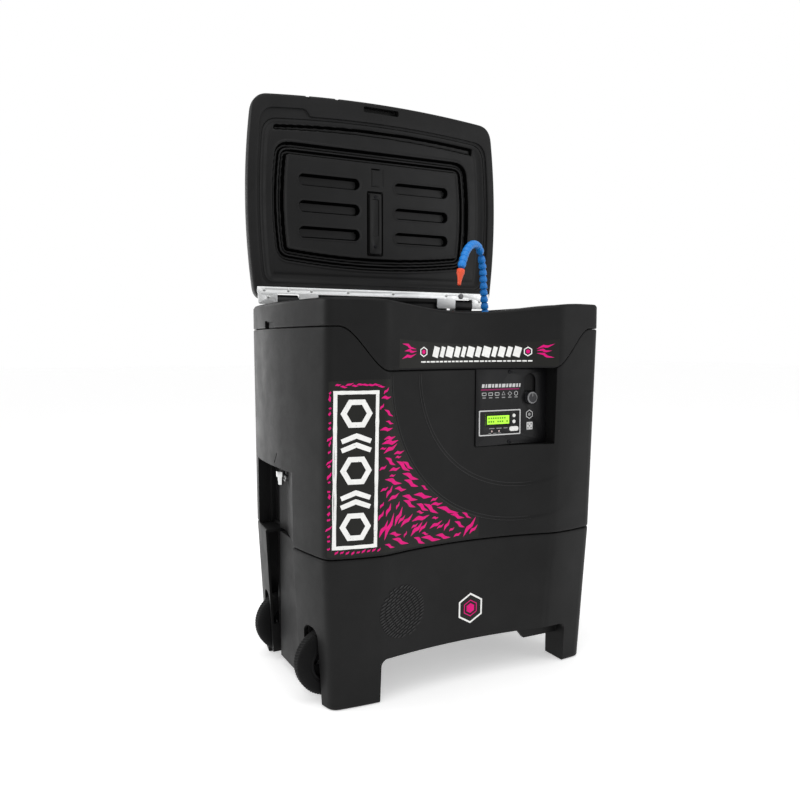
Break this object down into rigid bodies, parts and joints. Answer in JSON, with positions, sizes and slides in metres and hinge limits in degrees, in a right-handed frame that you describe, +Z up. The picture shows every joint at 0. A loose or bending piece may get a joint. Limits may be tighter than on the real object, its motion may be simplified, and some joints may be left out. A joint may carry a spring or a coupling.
{
  "type": "parts washer tank",
  "caption": "Upright moulded parts washer tank with a hinged lid, sink basin, segmented rinsing hose, control panel, legs and side wheels.",
  "frame": {"origin": "on the floor, under the middle of the outline with the lid open", "axes": "+Z up, the front with the control panel faces -Y, +X to the right as seen from the front"},
  "size_m": [0.8576, 0.5976, 1.58],
  "materials": {
    "body_plastic": "fine moulded grain, satin black",
    "basin_plastic": "smooth moulded black",
    "liner_plastic": "vacuum formed black sheet",
    "panel_plate": "printed black front plate",
    "hinge_steel": "bright zinc plated sheet",
    "zinc_hardware": "zinc plated",
    "tyre_rubber": "black rubber, fine slanted ribs",
    "hub_plastic": "moulded black",
    "lcd": "lit green display",
    "button_white": "pale keys",
    "knob_plastic": "dark grey knob",
    "hose_blue": "blue moulded segments",
    "nozzle_orange": "orange moulded tip",
    "buffer_grey": "grey rubber",
    "frame_white": "white line",
    "pump_plastic": "dark grey moulded",
    "impeller_plastic": "grey moulded",
    "heater_steel": "stainless tube",
    "float_plastic": "cream moulded foam",
    "filter_cup_plastic": "grey blue moulded cup",
    "filter_fibre": "white fibre pad",
    "electronics_box": "dark box",
    "led_red": "red lens",
    "gland_plastic": "black nylon"
  },
  "bodies": {
    "washer": {"base_shell": "body_plastic", "tank_shell": "body_plastic", "top_ring": "body_plastic", "sink_basin": "basin_plastic", "filter_cup": "filter_cup_plastic", "filter_pad": "filter_fibre", "pump_housing": "pump_plastic", "supply_pipe": "hose_blue", "heater_element": "heater_steel", "level_rod": "heater_steel", "axle_front": "zinc_hardware", "axle_rear": "zinc_hardware", "hinge_block_left": "gland_plastic", "hinge_pin_left": "zinc_hardware", "hinge_block_right": "gland_plastic", "hinge_pin_right": "zinc_hardware", "control_plate": "panel_plate", "display_frame": "frame_white", "lcd_window": "lcd", "status_led_1": "led_red", "status_led_2": "led_red", "panel_screw_top": "zinc_hardware", "panel_screw_bottom": "zinc_hardware", "knob_switch": "electronics_box", "control_box": "electronics_box", "drain_coupling": "zinc_hardware", "cable_gland": "gland_plastic", "hose_foot": "hose_blue"},
    "lid": {"lid_shell": "body_plastic", "lid_liner": "liner_plastic", "lid_tool_plate": "liner_plastic", "tool_plate_screw_upper": "zinc_hardware", "tool_plate_screw_lower": "zinc_hardware", "hinge_leaf": "hinge_steel", "hinge_screw_1": "zinc_hardware", "hinge_screw_2": "zinc_hardware", "hinge_screw_3": "zinc_hardware", "hinge_screw_4": "zinc_hardware", "hinge_screw_5": "zinc_hardware", "hinge_screw_6": "zinc_hardware", "hinge_screw_7": "zinc_hardware", "hinge_screw_8": "zinc_hardware", "lid_buffer": "buffer_grey"},
    "strainer": {"drain_strainer": "heater_steel"},
    "impeller": {"pump_impeller": "impeller_plastic"},
    "float": {"level_float": "float_plastic"},
    "front_wheel": {"wheel_front_tyre": "tyre_rubber", "wheel_front_hub": "hub_plastic"},
    "rear_wheel": {"wheel_rear_tyre": "tyre_rubber", "wheel_rear_hub": "hub_plastic"},
    "hose_arm": {"hose_lower": "hose_blue"},
    "hose_arch": {"hose_upper": "hose_blue"},
    "nozzle": {"hose_nozzle": "nozzle_orange"},
    "up_key": {"button_up": "button_white"},
    "down_key": {"button_down": "button_white"},
    "start_key": {"button_start": "button_white"},
    "timer": {"timer_knob": "knob_plastic"}
  },
  "joints": [
    {"name": "lid_hinge", "type": "hinge", "parent": "washer", "child": "lid", "pos_m": [0.00525, 0.26875, 0.986], "axis": [1, 0, 0], "range_deg": [0, 90]},
    {"name": "hose_fold", "type": "hinge", "parent": "washer", "child": "hose_arm", "pos_m": [0.25725, 0.06475, 0.95], "axis": [0.6369, -0.7709, 0], "range_deg": [0, 75]},
    {"name": "hose_elbow", "type": "hinge", "parent": "hose_arm", "child": "hose_arch", "pos_m": [0.21793, 0.03226, 1.131], "axis": [-0.6369, 0.7709, 0], "range_deg": [0, 52]},
    {"name": "nozzle_twist", "type": "hinge", "parent": "hose_arch", "child": "nozzle", "pos_m": [0.0827, -0.07947, 1.0665], "axis": [-0.2453, -0.2027, -0.948], "range_deg": [-180, 180]},
    {"name": "strainer_lift", "type": "slide", "parent": "washer", "child": "strainer", "axis": [0, 0, 1], "range_m": [0, 0.06]},
    {"name": "impeller_spin", "type": "hinge", "parent": "washer", "child": "impeller", "pos_m": [0.15525, 0.05275, 0.4], "axis": [0, 0, 1], "continuous": true},
    {"name": "float_rise", "type": "slide", "parent": "washer", "child": "float", "axis": [0, 0, 1], "range_m": [0, 0.18]},
    {"name": "front_wheel_spin", "type": "hinge", "parent": "washer", "child": "front_wheel", "pos_m": [-0.34675, -0.16525, 0.096], "axis": [0, 1, 0], "continuous": true},
    {"name": "rear_wheel_spin", "type": "hinge", "parent": "washer", "child": "rear_wheel", "pos_m": [-0.34675, 0.15075, 0.096], "axis": [0, 1, 0], "continuous": true},
    {"name": "up_key_press", "type": "slide", "parent": "washer", "child": "up_key", "axis": [0, 1, 0], "range_m": [0, 0.0012], "stiffness_N_per_m": 400},
    {"name": "down_key_press", "type": "slide", "parent": "washer", "child": "down_key", "axis": [0, 1, 0], "range_m": [0, 0.0012], "stiffness_N_per_m": 400},
    {"name": "start_key_press", "type": "slide", "parent": "washer", "child": "start_key", "axis": [0, 1, 0], "range_m": [0, 0.0012], "stiffness_N_per_m": 400},
    {"name": "timer_turn", "type": "hinge", "parent": "washer", "child": "timer", "pos_m": [0.19325, -0.25225, 0.726], "axis": [0, 1, 0], "range_deg": [-150, 150]}
  ],
  "couplings": [
    {"joint": "hose_fold", "follows": "lid_hinge", "ratio": 0.83333},
    {"joint": "hose_elbow", "follows": "lid_hinge", "ratio": 0.57778}
  ]
}
